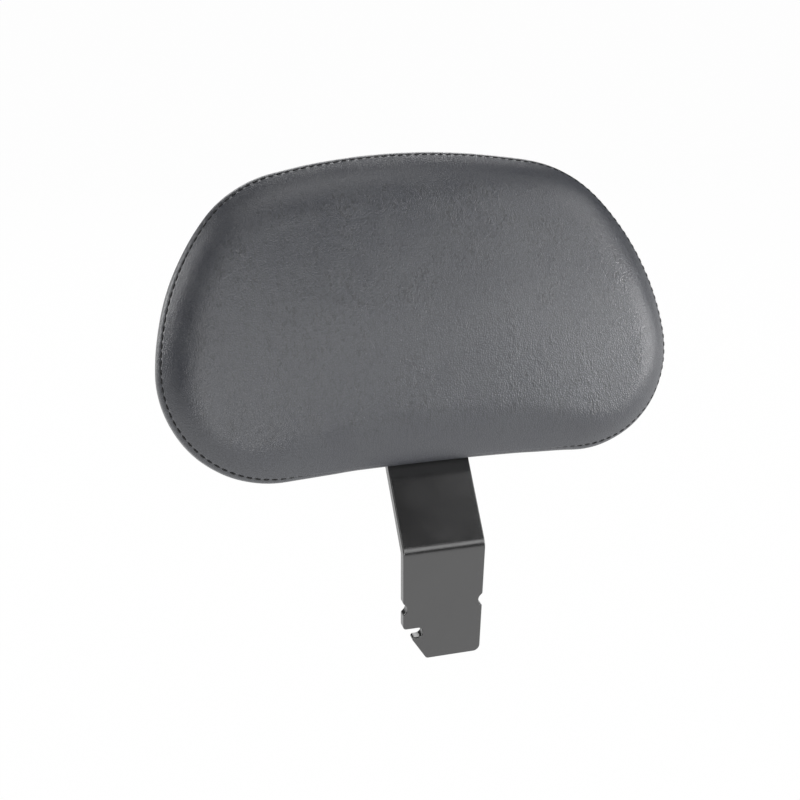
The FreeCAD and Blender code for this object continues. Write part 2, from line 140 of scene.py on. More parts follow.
def outline_arcs():
    """The arcs of the right half, from the top down: centre, radius, first and last heading, side."""
    s = pad()
    top = np.array([0.0, s.rise + s.height - s.top_radius])
    turn = s.top_half_angle
    shoulder = top + np.array([math.sin(turn), math.cos(turn)]) * (s.top_radius - s.shoulder_radius)
    lobe = np.array([s.width / 2 - s.lobe_radius, s.rise + s.lobe_radius])
    to_shoulder = s.flank_radius - s.shoulder_radius
    to_lobe = s.flank_radius - s.lobe_radius
    apart = np.linalg.norm(lobe - shoulder)
    along = (to_shoulder ** 2 - to_lobe ** 2 + apart ** 2) / (2 * apart)
    aside = math.sqrt(to_shoulder ** 2 - along ** 2)
    down = (lobe - shoulder) / apart
    flank = shoulder + down * along + np.array([down[1], -down[0]]) * aside
    drop = s.lobe_radius - s.waist_arch
    waist_radius = (lobe[0] ** 2 + drop ** 2 - s.lobe_radius ** 2) / (2 * s.waist_arch)
    waist = np.array([0.0, s.rise + s.waist_arch - waist_radius])
    into_flank, out_of_flank = heading(shoulder - flank), heading(lobe - flank)
    return [
        (top, s.top_radius, 0.0, turn, 1.0),
        (shoulder, s.shoulder_radius, turn, into_flank, 1.0),
        (flank, s.flank_radius, into_flank, out_of_flank, 1.0),
        (lobe, s.lobe_radius, out_of_flank, heading(waist - lobe), 1.0),
        (waist, waist_radius, heading(lobe - waist), 0.0, -1.0),
    ]


def outline(count):
    """Points on the seam's outline and their outward directions, clockwise from the middle of the top."""
    arcs = outline_arcs()
    lengths = [radius * abs(last - first) for _, radius, first, last, _ in arcs]
    half = sum(lengths)
    points, outward = np.zeros((count, 2)), np.zeros((count, 2))
    for index in range(count):
        place = 2 * half * index / count
        mirrored = place > half
        rest = 2 * half - place if mirrored else place
        for (centre, radius, first, last, side), arc_length in zip(arcs, lengths):
            if rest <= arc_length + TINY:
                break
            rest -= arc_length
        angle = first + (last - first) * min(1.0, rest / arc_length)
        ray = np.array([math.sin(angle), math.cos(angle)])
        points[index] = centre + ray * radius
        outward[index] = ray * side
        if mirrored:
            points[index][0] *= -1
            outward[index][0] *= -1
    return points, outward, 2 * half


def crown(points, height):
    """Height of the crowned face over points of the pad's plane."""
    s = pad()
    lift = points[:, 1] - (s.rise + s.height / 2)
    ring = s.crown_across - s.crown_along + np.sqrt(s.crown_along ** 2 - lift ** 2)
    return height - s.crown_across + np.sqrt(ring ** 2 - points[:, 0] ** 2)


def pad_matrix():
    """From the pad's plane, with x across, y up the pad and z forward, to the row's frame."""
    s = pad()
    across = Vector((1, 0, 0))
    up = Vector((0, math.sin(s.lean), math.cos(s.lean)))
    forward = Vector((0, -math.cos(s.lean), math.sin(s.lean)))
    turned = Matrix((across, up, forward)).transposed().to_4x4()
    return Matrix.Translation((0, s.origin_y, s.origin_z)) @ turned


# Mesh helpers

def deselect():
    if bpy.context.object and bpy.context.object.mode != "OBJECT":
        bpy.ops.object.mode_set(mode="OBJECT")
    bpy.ops.object.select_all(action="DESELECT")


def only(piece):
    """Selects one object and makes it the active one."""
    deselect()
    piece.select_set(True)
    bpy.context.view_layer.objects.active = piece
    return piece


def mesh_object(name, points, faces):
    """A new object from points in metres and faces, with its faces turned outwards."""
    mesh = bpy.data.meshes.new(name)
    mesh.from_pydata([tuple(point) for point in points], [], faces)
    shape = bmesh.new()
    shape.from_mesh(mesh)
    bmesh.ops.recalc_face_normals(shape, faces=shape.faces)
    if shape.calc_volume(signed=True) < 0:
        bmesh.ops.reverse_faces(shape, faces=shape.faces)
    shape.to_mesh(mesh)
    shape.free()
    mesh.update()
    piece = bpy.data.objects.new(name, mesh)
    bpy.context.scene.collection.objects.link(piece)
    return only(piece)


def points_of(piece):
    points = np.zeros(len(piece.data.vertices) * 3)
    piece.data.vertices.foreach_get("co", points)
    return points.reshape(-1, 3)


def put_points(piece, points):
    piece.data.vertices.foreach_set("co", points.ravel())
    piece.data.update()


def ring_faces(first, count, rings):
    """Four-sided faces between rings of equal count that follow each other."""
    faces = []
    for ring in range(rings - 1):
        low, high = first + ring * count, first + (ring + 1) * count
        for index in range(count):
            after = (index + 1) % count
            faces.append((low + index, low + after, high + after, high + index))
    return faces


def ladder_faces(count):
    """Faces that close the first ring from its left side straight across to its right side."""
    faces = [(0, 1, count - 1), (count // 2 - 1, count // 2, count // 2 + 1)]
    for index in range(1, count // 2 - 1):
        faces.append((index, index + 1, count - index - 1, count - index))
    return faces


def smooth_all(piece):
    for face in piece.data.polygons:
        face.use_smooth = True


def place_in_row(piece):
    """Moves a piece's mesh from the pad's plane to the row's frame."""
    piece.data.transform(pad_matrix())
    piece.data.update()


def apply_subdivision(piece):
    only(piece)
    modifier = piece.modifiers.new("Subdivision", "SUBSURF")
    modifier.levels = modifier.render_levels = 1
    bpy.ops.object.modifier_apply(modifier=modifier.name)


# Cloth simulation

CLOTH_FRAMES = 20
CLOTH_STIFFNESS = 40
FACE_PRESSURE = 4.0
BAND_PRESSURE = 3.0
AVERAGING_ROUNDS = 6


def averaging(edges, count):
    """A function that gives every point the mean of its neighbours' values."""
    ends = np.concatenate([edges[:, 0], edges[:, 1]])
    others = np.concatenate([edges[:, 1], edges[:, 0]])
    degree = np.maximum(np.bincount(ends, minlength=count), 1)

    def average(values):
        return np.column_stack([
            np.bincount(ends, weights=values[others, axis], minlength=count) / degree
            for axis in range(values.shape[1])
        ])
    return average


def evened(piece, moved, held):
    """Movements of points, averaged with their neighbours' so that no crease is left."""
    edges = np.zeros(len(piece.data.edges) * 2, dtype=np.int64)
    piece.data.edges.foreach_get("vertices", edges)
    average = averaging(edges.reshape(-1, 2), len(moved))
    for _ in range(AVERAGING_ROUNDS):
        moved = average(moved)
        moved[held] = 0.0
    return moved


def stuff(piece, held, pressure, cap):
    """Swells a sewn piece by a cloth simulation. Held points stay, and no point moves past the cap."""
    start = points_of(piece)
    only(piece)
    group = piece.vertex_groups.new(name="held")
    group.add([int(index) for index in held], 1.0, "REPLACE")
    modifier = piece.modifiers.new("Cloth", "CLOTH")
    cloth = modifier.settings
    cloth.quality = 4
    cloth.mass = 0.3
    cloth.tension_stiffness = cloth.compression_stiffness = CLOTH_STIFFNESS
    cloth.shear_stiffness = CLOTH_STIFFNESS / 2
    cloth.bending_stiffness = 2
    cloth.use_pressure = True
    cloth.uniform_pressure_force = pressure
    cloth.vertex_group_mass = "held"
    cloth.shrink_min = 0.02
    cloth.effector_weights.gravity = 0
    modifier.collision_settings.use_collision = False
    modifier.point_cache.frame_end = CLOTH_FRAMES
    for moment in range(1, CLOTH_FRAMES + 1):
        bpy.context.scene.frame_set(moment)
    bpy.ops.object.modifier_apply(modifier=modifier.name)
    piece.vertex_groups.clear()
    bpy.context.scene.frame_set(1)
    moved = points_of(piece) - start
    far = np.linalg.norm(moved, axis=1, keepdims=True) + TINY
    moved = moved / far * cap * (1 - np.exp(-far / cap))
    put_points(piece, start + evened(piece, moved, held))


# Cushion

# Points round the outline. The face's middle is a block of quads with as many on its border.
ROUND_COUNT = 336
SEAM_SAMPLES = 16 * ROUND_COUNT
BLOCK_ACROSS = 112
BLOCK_UP = 56
BLOCK_RINGS = 9
BLOCK_WIDTH = 150 * MM
BLOCK_HEIGHT = 62 * MM
BLOCK_DROP = 4 * MM
SPREADING_ROUNDS = 400
# Insets of the rings on the turned-in edges, and of those past the rolled edge.
TURNED_IN = (6.5 * MM, 4.2 * MM)
BEYOND_ROLL = (3.5 * MM, 8 * MM)
ROUND_STEPS = 6
ROLL_STEPS = 11
ROLL_GUESS = 22 * MM
FACE_BACK_GAP = 2.5 * MM
# The face starts lower by this share of its swell, and the simulation holds what lies under the height.
START_LOWER = 0.8
HELD_BELOW = 0.9 * MM
BAND_SWELL = 0.6 * MM
# How strongly the vinyl's wrinkles show on the band, where 1 is the open face.
BAND_WRINKLES = 0.15


def face_profile(height):
    """Rings of points on the cushion's face, from its back to a little past the rolled edge."""
    s = pad()
    points, outward, _ = outline(ROUND_COUNT)

    def over(inset):
        return crown(points - outward * inset[:, None], height)

    back = -s.board_front + FACE_BACK_GAP
    rings = [(s.seam_allowance, back), (s.seam_allowance, back / 2), (s.seam_allowance, 0.0)]
    rings += [(inset, 0.0) for inset in TURNED_IN]
    turned = math.pi - s.edge_lean
    for step in range(ROUND_STEPS + 1):
        angle = -math.pi / 2 - turned * step / ROUND_STEPS
        rings.append((s.seam_round * (1 + math.cos(angle)), s.seam_round * (1 + math.sin(angle))))
    # The edge rolls over from there in one arc. Its width is found so that it meets the crown in its slope.
    near, low = rings[-1]
    reach = np.full(ROUND_COUNT, ROLL_GUESS)
    for _ in range(6):
        slope = np.arctan((over(reach + MM) - over(reach)) / MM)
        reach = near + (over(reach) - low) / np.tan((s.edge_lean + slope) / 2)
    radius = (reach - near) / (math.sin(s.edge_lean) - np.sin(slope))
    for step in range(1, ROLL_STEPS + 1):
        angle = s.edge_lean + (slope - s.edge_lean) * step / ROLL_STEPS
        rings.append((near + radius * (math.sin(s.edge_lean) - np.sin(angle)),
                      low + radius * (np.cos(angle) - math.cos(s.edge_lean))))
    for further in BEYOND_ROLL:
        rings.append((reach + further, over(reach + further)))
    placed = []
    for inset, rise in rings:
        flat = points - outward * np.broadcast_to(inset, (ROUND_COUNT,))[:, None]
        placed.append(np.column_stack([flat, np.broadcast_to(rise, (ROUND_COUNT,))]))
    return placed


def block_layout():
    """The block in the middle of the face: its columns and rows, and its border in ring order."""
    half = BLOCK_ACROSS // 2
    border = [(column, BLOCK_UP) for column in range(half, BLOCK_ACROSS)]
    border += [(BLOCK_ACROSS, row) for row in range(BLOCK_UP, 0, -1)]
    border += [(column, 0) for column in range(BLOCK_ACROSS, 0, -1)]
    border += [(0, row) for row in range(BLOCK_UP)]
    border += [(column, BLOCK_UP) for column in range(half)]
    return BLOCK_ACROSS + 1, BLOCK_UP + 1, border


def face_middle(rim, first):
    """Points and faces that close a ring of points with quads, spread evenly inside it."""
    s = pad()
    columns, rows, border = block_layout()
    centre = np.array([0.0, s.rise + s.height / 2 - BLOCK_DROP])
    block = np.zeros((rows, columns, 2))
    for row in range(rows):
        for column in range(columns):
            block[row, column] = centre + ((column / BLOCK_ACROSS - 0.5) * BLOCK_WIDTH,
                                           (row / BLOCK_UP - 0.5) * BLOCK_HEIGHT)
    inner = np.array([block[row, column] for column, row in border])
    rings = [rim + (inner - rim) * step / BLOCK_RINGS for step in range(1, BLOCK_RINGS)]
    flat = np.concatenate([rim] + rings + [block.reshape(-1, 2)])
    grid_first = ROUND_COUNT * BLOCK_RINGS

    def grid(column, row):
        return grid_first + row * columns + column

    faces = ring_faces(0, ROUND_COUNT, BLOCK_RINGS)
    last = ROUND_COUNT * (BLOCK_RINGS - 1)
    for index in range(ROUND_COUNT):
        after = (index + 1) % ROUND_COUNT
        faces.append((last + index, last + after, grid(*border[after]), grid(*border[index])))
    for row in range(rows - 1):
        for column in range(columns - 1):
            faces.append((grid(column, row), grid(column + 1, row),
                          grid(column + 1, row + 1), grid(column, row + 1)))
    edges = np.array(sorted({
        tuple(sorted((face[corner], face[(corner + 1) % 4]))) for face in faces for corner in range(4)
    }))
    average = averaging(edges, len(flat))
    for _ in range(SPREADING_ROUNDS):
        flat = average(flat)
        flat[:ROUND_COUNT] = rim
    shifted = [tuple(corner + first for corner in face) for face in faces]
    return flat, shifted


def seam_places(points):
    """For each point: the nearest place along the seam, how far inside it lies, and the way outwards."""
    dense, outward, _ = outline(SEAM_SAMPLES)
    tree = kdtree.KDTree(len(dense))
    for index, place in enumerate(dense):
        tree.insert((place[0], place[1], 0.0), index)
    tree.balance()
    along, inside = np.zeros(len(points)), np.zeros(len(points))
    for index, point in enumerate(points):
        _, nearest, _ = tree.find((point[0], point[1], 0.0))
        along[index] = nearest / len(dense)
        inside[index] = -np.dot(point[:2] - dense[nearest], outward[nearest])
    return along, inside, outward[np.round(along * len(dense)).astype(int) % len(dense)]


def near_holes(along):
    """1 at the needle holes between two stitches and 0 along a stitch."""
    phase = (along * pad().stitches) % 1.0
    away = np.abs(phase - 0.5) * 2
    return np.clip((away - 0.55) / 0.45, 0, 1) ** 1.5


def hand_made(points, size, depth):
    """A slow unevenness, as moulded foam and stretched vinyl have."""
    return np.array([
        noise.noise(Vector((point[0], point[1], point[2] * 0.3)) / size) for point in points
    ]) * depth


def add_mask(piece, name, values):
    attribute = piece.data.attributes.new(name, "FLOAT", "POINT")
    attribute.data.foreach_set("value", values.astype(np.float32))


def make_cushion_face():
    """The crowned vinyl face over its foam, swelled by a simulation."""
    s = pad()
    start_height = s.crown_height - s.swell * START_LOWER
    rings = face_profile(start_height)
    first = ROUND_COUNT * (len(rings) - 1)
    flat, middle_faces = face_middle(rings[-1][:, :2], first)
    middle = np.column_stack([flat, crown(flat, start_height)])
    points = np.concatenate(rings[:-1] + [middle])
    faces = ring_faces(0, ROUND_COUNT, len(rings)) + middle_faces
    faces += ladder_faces(ROUND_COUNT)
    piece = mesh_object("cushion_face", points, faces)
    stuff(piece, np.nonzero(points[:, 2] < HELD_BELOW)[0], FACE_PRESSURE, s.swell)
    apply_subdivision(piece)

    points = points_of(piece)
    along, inside, outward = seam_places(points)
    height = points[:, 2]
    # At the needle holes the thread draws the edge of the face outwards and down to the seam.
    lip = np.exp(-(height / (1.6 * MM)) ** 2) * (inside < 3.2 * MM) * (height > -0.2 * MM)
    hole = near_holes(along)
    points[:, :2] += outward * (lip * (hole * 0.36 - 0.08) * MM)[:, None]
    points[:, 2] -= lip * hole * 0.45 * MM * (height > 0.3 * MM)
    open_face = np.clip((inside - 6 * MM) / (22 * MM), 0, 1)
    points[:, 2] += hand_made(points, 46 * MM, 0.35 * MM) * open_face
    put_points(piece, points)
    add_mask(piece, "open_face", np.clip((inside - 2 * MM) / (20 * MM), 0, 1))
    smooth_all(piece)
    place_in_row(piece)
    return piece


def band_section():
    """Section of the side band as (inset, height) corners, from the seam round to the board's pocket."""
    s = pad()
    bulge, depth = s.band_bulge, s.band_depth
    section = [(inset, 0.0) for inset in (s.seam_allowance, *TURNED_IN)]
    front, rear = s.band_front_round, s.band_rear_round
    for step in range(ROUND_STEPS + 1):
        angle = math.radians(90 + 90 * step / ROUND_STEPS)
        section.append((front - bulge + front * math.cos(angle), -front + front * math.sin(angle)))
    section.append((-bulge, -(front + depth - rear) / 2))
    for step in range(ROUND_STEPS + 1):
        angle = math.radians(180 + 90 * step / ROUND_STEPS)
        section.append((rear - bulge + rear * math.cos(angle), rear - depth + rear * math.sin(angle)))
    section += [(inset * MM, -depth) for inset in (5.5, 8.5, 12.0)]
    section += [(s.hem_width, -depth), (s.hem_width, -s.board_back)]
    section += [(9.0 * MM, -s.board_back), (3.6 * MM, -s.board_back)]
    pocket = s.board_inset - 0.1 * MM
    section += [(pocket, 2.2 * MM - s.board_back)]
    section += [(pocket, -(s.board_front + s.board_back) / 2), (pocket, -s.board_front)]
    section += [(s.seam_allowance, -s.board_front), (s.seam_allowance, -s.board_front / 2)]
    return section


def make_cushion_band():
    """The vinyl band round the side with the foam behind it, and its hem pulled round the board."""
    s = pad()
    edge, outward, whole = outline(ROUND_COUNT)
    section = band_section()
    points = np.concatenate([
        np.column_stack([edge - outward * inset, np.full(ROUND_COUNT, rise)]) for inset, rise in section
    ])
    count = len(section)
    faces = ring_faces(0, ROUND_COUNT, count)
    last = ROUND_COUNT * (count - 1)
    for index in range(ROUND_COUNT):
        after = (index + 1) % ROUND_COUNT
        faces.append((last + index, last + after, after, index))
    piece = mesh_object("cushion_band", points, faces)
    depth = points[:, 2]
    inset = np.repeat([place[0] for place in section], ROUND_COUNT)
    free = (inset < 2.4 * MM) & (depth < -0.2 * MM) & (depth > 0.6 * MM - s.band_depth)
    free &= ~((inset > s.board_inset - 0.2 * MM) & (depth > 2.0 * MM - s.band_depth) & (depth < -2 * MM))
    stuff(piece, np.nonzero(~free)[0], BAND_PRESSURE, BAND_SWELL)
    apply_subdivision(piece)

    points = points_of(piece)
    along, inside, outward = seam_places(points)
    depth = points[:, 2]
    # There it draws the edge of the band forwards too.
    lip = np.exp(-(depth / (2.0 * MM)) ** 2) * (inside < 3.4 * MM) * (depth > -4 * MM)
    hole = near_holes(along)
    points[:, 2] += lip * (hole * 0.50 - 0.10) * MM * (depth < -0.02 * MM)
    side = np.clip(-depth / (3 * MM), 0, 1) * (inside < 2.0 * MM)
    points[:, :2] += outward * (hand_made(points, 21 * MM, 0.25 * MM) * side)[:, None]
    # Small gathers where the hem is pulled round the lobes and shoulders.
    near_back = np.clip((-depth - s.band_depth + 4 * MM) / (4 * MM), 0, 1) ** 2
    near_back *= np.clip((inside + 2.2 * MM) / (2.5 * MM), 0, 1)
    near_back *= np.clip((9.0 * MM - inside) / (3 * MM), 0, 1)
    bend = np.abs(np.sin(along * 2 * math.pi * 2)) ** 0.5
    folds = np.sin(along * whole / (5.2 * MM) * 2 * math.pi + 2.2 * np.sin(along * 2 * math.pi * 9))
    points[:, 2] += near_back * bend * folds * 0.22 * MM
    put_points(piece, points)
    add_mask(piece, "open_face", np.full(len(points), BAND_WRINKLES))
    smooth_all(piece)
    place_in_row(piece)
    return piece


# Stitches

STITCH_PARTS = 8
STITCH_SINK = 0.52 * MM
STITCH_FORWARD = 0.18 * MM
STITCH_DIVE = 1.15 * MM


def make_one_stitch():
    """One stitch along X: a round thread whose ends dive into their needle holes."""
    s = pad()
    deselect()
    bpy.ops.mesh.primitive_cylinder_add(vertices=10, radius=s.thread_radius, depth=s.stitch_length,
                                        rotation=(0, math.pi / 2, 0), end_fill_type="NGON")
    stitch = bpy.context.object
    bpy.ops.object.transform_apply(location=True, rotation=True, scale=True)
    bpy.ops.object.mode_set(mode="EDIT")
    bpy.ops.mesh.select_all(action="DESELECT")
    shape = bmesh.from_edit_mesh(stitch.data)
    for edge in shape.edges:
        run = abs(edge.verts[0].co.x - edge.verts[1].co.x)
        edge.select_set(run > s.stitch_length / 2)
    bmesh.update_edit_mesh(stitch.data)
    bpy.ops.mesh.subdivide(number_cuts=STITCH_PARTS - 1)
    shape = bmesh.from_edit_mesh(stitch.data)
    for step in range(STITCH_PARTS + 1):
        place = (step / STITCH_PARTS - 0.5) * s.stitch_length
        for vert in shape.verts:
            vert.select_set(abs(vert.co.x - place) < 0.05 * MM)
        shape.select_flush_mode()
        bmesh.update_edit_mesh(stitch.data)
        away = abs(2 * step / STITCH_PARTS - 1)
        if away > 0.4:
            bpy.ops.transform.resize(value=(1, 1 - 0.35 * away ** 3, 1 - 0.2 * away ** 3),
                                     center_override=(place, 0, 0))
        bpy.ops.transform.translate(value=(0, 0, -STITCH_DIVE * away ** 4))
        shape = bmesh.from_edit_mesh(stitch.data)
    bpy.ops.object.mode_set(mode="OBJECT")
    smooth_all(stitch)
    return stitch


def make_seam_stitches():
    """Every stitch of the seam, each a copy of the first with its own mesh, joined into one piece."""
    s = pad()
    stitch = make_one_stitch()
    count = s.stitches
    edge, outward, _ = outline(2 * count)
    placed = pad_matrix()
    copies = []
    for index in range(count):
        here = edge[2 * index + 1]
        out = Vector((*outward[2 * index + 1], 0.0))
        ahead = edge[(2 * index + 2) % (2 * count)] - edge[2 * index]
        along = Vector((*ahead, 0.0)).normalized()
        # The thread shows outwards and a little forwards, out of the ditch of the seam.
        up = (out + Vector((0, 0, 0.25))).normalized()
        across = up.cross(along)
        spot = Vector((*here, STITCH_FORWARD)) - out * STITCH_SINK
        turned = Matrix((along, across, up)).transposed().to_4x4()
        copy = stitch.copy()
        copy.data = stitch.data.copy()
        copy.data.transform(placed @ Matrix.Translation(spot) @ turned)
        bpy.context.scene.collection.objects.link(copy)
        copies.append(copy)
    bpy.data.objects.remove(stitch)
    deselect()
    for copy in copies:
        copy.select_set(True)
    bpy.context.view_layer.objects.active = copies[0]
    bpy.ops.object.join()
    seam = bpy.context.object
    seam.name = seam.data.name = "seam_stitches"
    return seam


# Materials

def new_material(name):
    material = bpy.data.materials.new(name)
    material.use_nodes = True
    return material, material.node_tree, material.node_tree.nodes["Principled BSDF"]


def add(tree, kind, values=None, **settings):
    """A new node with its settings, and the values of its sockets."""
    node = tree.nodes.new(kind)
    for name, value in settings.items():
        setattr(node, name, value)
    for socket, value in (values or {}).items():
        node.inputs[socket].default_value = value
    return node


def maths(tree, operation, first, second=None, third=None, clamp=False):
    """A Math node between sockets and plain numbers."""
    node = add(tree, "ShaderNodeMath", operation=operation, use_clamp=clamp)
    for index, value in enumerate((first, second, third)):
        if value is None:
            continue
        if isinstance(value, (int, float)):
            node.inputs[index].default_value = value
        else:
            tree.links.new(value, node.inputs[index])
    return node.outputs[0]


def mixed(tree, factor, first, second):
    """A colour between two sockets or colours."""
    node = add(tree, "ShaderNodeMix", data_type="RGBA")
    for index, value in ((0, factor), (6, first), (7, second)):
        if isinstance(value, (int, float)):
            node.inputs[index].default_value = value
        elif isinstance(value, (tuple, list)):
            node.inputs[index].default_value = (*value[:3], 1.0)
        else:
            tree.links.new(value, node.inputs[index])
    return node.outputs[2]


def stretched(tree, vector, scale, turn=(0, 0, 0)):
    """Coordinates scaled per axis, for a pattern that runs one way."""
    node = add(tree, "ShaderNodeMapping", {"Scale": scale, "Rotation": turn})
    tree.links.new(vector, node.inputs["Vector"])
    return node.outputs[0]


def texture(tree, kind, vector, values, output=0, **settings):
    node = add(tree, kind, values, **settings)
    tree.links.new(vector, node.inputs["Vector"])
    return node.outputs[output]


def ramp(tree, value, low, high):
    """A smooth step of a value between two limits."""
    node = add(tree, "ShaderNodeMapRange", {"From Min": low, "From Max": high},
               interpolation_type="SMOOTHSTEP")
    tree.links.new(value, node.inputs["Value"])
    return node.outputs[0]


def new_group(name, inputs, outputs):
    """An empty node group with named inputs and outputs."""
    group = bpy.data.node_groups.new(name, "ShaderNodeTree")
    for label, kind, value in inputs:
        socket = group.interface.new_socket(label, in_out="INPUT", socket_type=kind)
        if value is not None:
            socket.default_value = value
    for label, kind in outputs:
        group.interface.new_socket(label, in_out="OUTPUT", socket_type=kind)
    entry = group.nodes.new("NodeGroupInput")
    leave = group.nodes.new("NodeGroupOutput")
    return group, entry.outputs, leave.inputs


def grain_group():
    """Fine pebbles of a coated surface, with a cell size in metres."""
    group, given, made = new_group("Pebble Grain", [
        ("Vector", "NodeSocketVector", None),
        ("Scale", "NodeSocketFloat", 800.0),
        ("Distortion", "NodeSocketFloat", 0.0006),
    ], [("Height", "NodeSocketFloat"), ("Crease", "NodeSocketFloat")])
    wander = add(group, "ShaderNodeTexNoise", {"Detail": 2.0, "Roughness": 0.55})
    group.links.new(given["Vector"], wander.inputs["Vector"])
    group.links.new(maths(group, "MULTIPLY", given["Scale"], 0.45), wander.inputs["Scale"])
    centred = add(group, "ShaderNodeVectorMath", {1: (0.5, 0.5, 0.5)}, operation="SUBTRACT")
    group.links.new(wander.outputs["Color"], centred.inputs[0])
    scaled = add(group, "ShaderNodeVectorMath", operation="SCALE")
    group.links.new(centred.outputs[0], scaled.inputs[0])
    group.links.new(given["Distortion"], scaled.inputs["Scale"])
    moved = add(group, "ShaderNodeVectorMath", operation="ADD")
    group.links.new(given["Vector"], moved.inputs[0])
    group.links.new(scaled.outputs[0], moved.inputs[1])
    cells = add(group, "ShaderNodeTexVoronoi", feature="DISTANCE_TO_EDGE")
    group.links.new(moved.outputs[0], cells.inputs["Vector"])
    group.links.new(given["Scale"], cells.inputs["Scale"])
    pebble = ramp(group, cells.outputs["Distance"], 0.0, 0.32)
    group.links.new(pebble, made["Height"])
    group.links.new(maths(group, "SUBTRACT", 1.0, ramp(group, cells.outputs["Distance"], 0.0, 0.1)),
                    made["Crease"])
    return group


def patches_group():
    """Slow patches of a second tone."""
    group, given, made = new_group("Slow Patches", [
        ("Vector", "NodeSocketVector", None),
        ("Scale", "NodeSocketFloat", 40.0),
        ("Low", "NodeSocketFloat", 0.42),
        ("High", "NodeSocketFloat", 0.6),
    ], [("Mask", "NodeSocketFloat")])
    slow = add(group, "ShaderNodeTexNoise", {"Detail": 3.0, "Roughness": 0.5})
    group.links.new(given["Vector"], slow.inputs["Vector"])
    group.links.new(given["Scale"], slow.inputs["Scale"])
    step = add(group, "ShaderNodeMapRange", interpolation_type="SMOOTHSTEP")
    group.links.new(slow.outputs["Fac"], step.inputs["Value"])
    group.links.new(given["Low"], step.inputs["From Min"])
    group.links.new(given["High"], step.inputs["From Max"])
    group.links.new(step.outputs[0], made["Mask"])
    return group


def shared(name, maker):
    """A node group that is built once."""
    return bpy.data.node_groups.get(name) or maker()


def place_group(tree, group, vector, values):
    """The outputs of a node group that is placed in a material with its own values."""
    node = tree.nodes.new("ShaderNodeGroup")
    node.node_tree = group
    tree.links.new(vector, node.inputs["Vector"])
    for label, value in values.items():
        node.inputs[label].default_value = value
    return node.outputs


def pebbles(tree, vector, scale, distortion):
    """Pebble grain in a material, as its height and its creases."""
    return place_group(tree, shared("Pebble Grain", grain_group), vector,
                       {"Scale": scale, "Distortion": distortion})


def patches(tree, vector, scale, low, high):
    """A mask of slow patches in a material."""
    values = {"Scale": scale, "Low": low, "High": high}
    return place_group(tree, shared("Slow Patches", patches_group), vector, values)["Mask"]


def bump(tree, height, distance, shader):
    """Lets a height from 0 to 1 raise the surface by a distance in metres."""
    node = add(tree, "ShaderNodeBump", {"Strength": 1.0, "Distance": distance})
    tree.links.new(height, node.inputs["Height"])
    tree.links.new(node.outputs["Normal"], shader.inputs["Normal"])


def object_coordinates(tree):
    return tree.nodes.new("ShaderNodeTexCoord").outputs["Object"]


def dressed(piece, material):
    """Gives a piece this one material."""
    piece.data.materials.clear()
    piece.data.materials.append(material)


def tint(value, factor):
    return tuple(min(1.0, channel * factor) for channel in value)


def vinyl_material():
    """Upholstery vinyl: pebble grain, wavy wrinkles in upright streaks, a faint mottle, and painted shade
    in the pebble creases and wrinkle furrows.
    """
    f = finishes()
    material, tree, shader = new_material("Black Upholstery Vinyl")
    where = object_coordinates(tree)
    pebble = pebbles(tree, where, 760.0, 0.0008)
    upright = stretched(tree, where, (1.0, 1.0, 0.24))
    wrinkle = texture(tree, "ShaderNodeTexNoise", upright,
                      {"Scale": 620.0, "Detail": 2.0, "Roughness": 0.5, "Distortion": 0.9})
    streaks = patches(tree, stretched(tree, where, (1.0, 1.0, 0.28)), 46.0, 0.40, 0.64)
    spots = patches(tree, where, 150.0, 0.40, 0.62)
    open_face = add(tree, "ShaderNodeAttribute", attribute_name="open_face").outputs["Fac"]
    marked = maths(tree, "MULTIPLY", streaks, spots)
    marked = maths(tree, "MULTIPLY_ADD", marked, 0.60, 0.40)
    marked = maths(tree, "MULTIPLY", marked, open_face)
    fine = texture(tree, "ShaderNodeTexNoise", where, {"Scale": 2600.0, "Detail": 2.0})
    height = maths(tree, "MULTIPLY", pebble["Height"], 0.60)
    height = maths(tree, "MULTIPLY_ADD", maths(tree, "MULTIPLY", wrinkle, marked), 3.0, height)
    height = maths(tree, "MULTIPLY_ADD", fine, 0.20, height)
    bump(tree, height, 0.00011, shader)
    mottle = patches(tree, where, 60.0, 0.38, 0.64)
    cool, warm = tint(f.vinyl, 0.97), (f.vinyl[0] * 1.05, f.vinyl[1] * 1.05, f.vinyl[2] * 1.02)
    tone = mixed(tree, mottle, cool, warm)
    # Painted shade: the pebble creases and the wrinkle furrows are darkened in the base colour, down to
    # 0.28 of the vinyl.
    furrow_shade = maths(tree, "MULTIPLY", ramp(tree, wrinkle, 0.52, 0.36), marked)
    crease = maths(tree, "MULTIPLY", pebble["Crease"], 0.6)
    crease = maths(tree, "MULTIPLY_ADD", furrow_shade, 0.75, crease)
    painted_crease_shade = maths(tree, "MULTIPLY", crease, 0.9, clamp=True)
    tone = mixed(tree, painted_crease_shade, tone, tint(f.vinyl, 0.28))
    tree.links.new(tone, shader.inputs["Base Color"])
    rough = maths(tree, "MULTIPLY_ADD", mottle, 0.05, f.vinyl_roughness - 0.03)
    rough = maths(tree, "MULTIPLY_ADD", pebble["Crease"], 0.08, rough)
    tree.links.new(rough, shader.inputs["Roughness"])
    shader.inputs["Specular IOR Level"].default_value = 1.0
    return material


